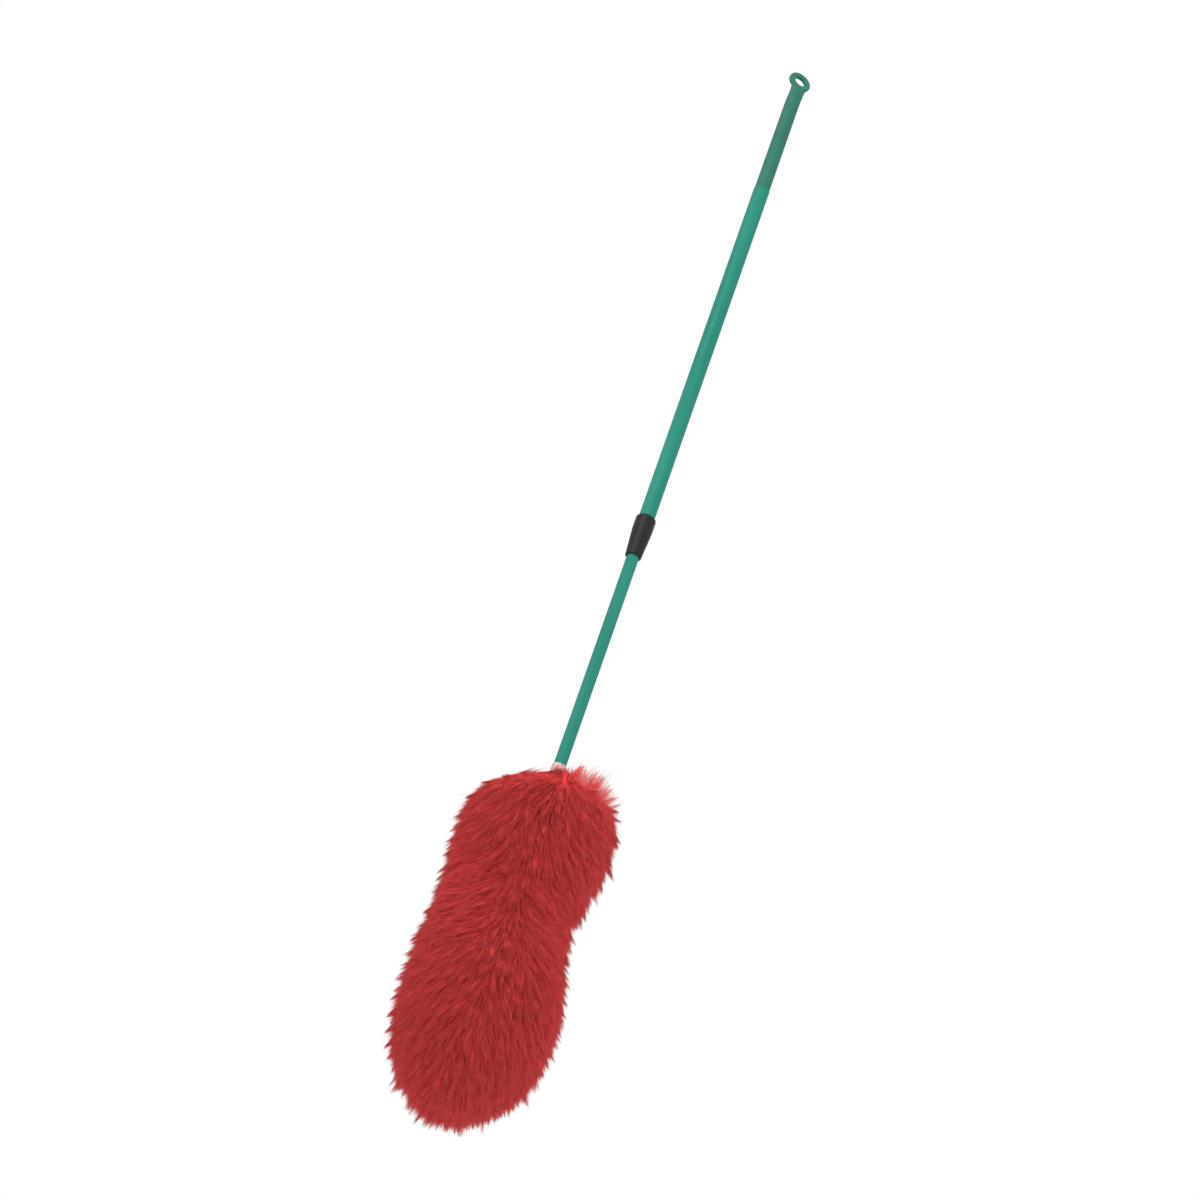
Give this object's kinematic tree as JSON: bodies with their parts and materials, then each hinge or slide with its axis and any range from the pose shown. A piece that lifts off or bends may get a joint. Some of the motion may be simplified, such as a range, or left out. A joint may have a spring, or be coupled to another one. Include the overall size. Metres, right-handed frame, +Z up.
{
  "type": "extending wool duster",
  "caption": "Long two-stage twist-lock pole with a hang eye at one end and a thick dyed fleece duster head at the other.",
  "frame": {"origin": "centre of the hang hole in the pole's end cap", "axes": "+Z up along the pole from the fleece head to the hang cap, with the duster hanging down; +Y towards the side that the hang eye leans to, so the hole runs along Y but dips 20 degrees at that side"},
  "size_m": [0.1699, 0.169, 1.2918],
  "materials": {
    "cap_green": "satin",
    "skin_green": "satin",
    "collar_black": "satin",
    "tube_steel": "satin",
    "fixing_steel": "satin",
    "nylon_natural": "satin",
    "plug_black": "matte",
    "core_plastic": "matte",
    "sheep_hide": "matte",
    "neck_tape": "matte",
    "dyed_wool": "matte"
  },
  "bodies": {
    "handle": {"hang_cap": "cap_green", "outer_tube": "tube_steel", "outer_tube_skin": "skin_green", "lock_collar": "collar_black"},
    "lock_expander": {"expander_sleeve": "nylon_natural"},
    "lock_nut": {"cone_nut": "nylon_natural"},
    "inner_pole": {"lock_plug": "plug_black", "stop_screw": "fixing_steel", "inner_tube": "tube_steel", "inner_tube_skin": "skin_green", "core_socket": "core_plastic", "socket_rivet": "fixing_steel", "core_tube": "core_plastic", "tip_plug": "core_plastic", "hide_sleeve": "sheep_hide", "neck_binding": "neck_tape", "tip_disc": "sheep_hide", "tip_washer": "fixing_steel", "tip_screw": "fixing_steel", "wool_pile": "dyed_wool"}
  },
  "joints": [
    {"name": "extension", "type": "slide", "parent": "handle", "child": "lock_expander", "axis": [0, 0, -1], "range_m": [-0.24, 0.075]},
    {"name": "twist_lock", "type": "hinge", "parent": "lock_expander", "child": "inner_pole", "pos_m": [0, 0, -0.465], "axis": [0, 0, -1], "range_deg": [0, 270]},
    {"name": "nut_travel", "type": "slide", "parent": "lock_expander", "child": "lock_nut", "axis": [0, 0, 1], "range_m": [0, 0.0016]}
  ],
  "couplings": [
    {"joint": "nut_travel", "follows": "twist_lock", "m_per_rad": 0.00031831}
  ]
}
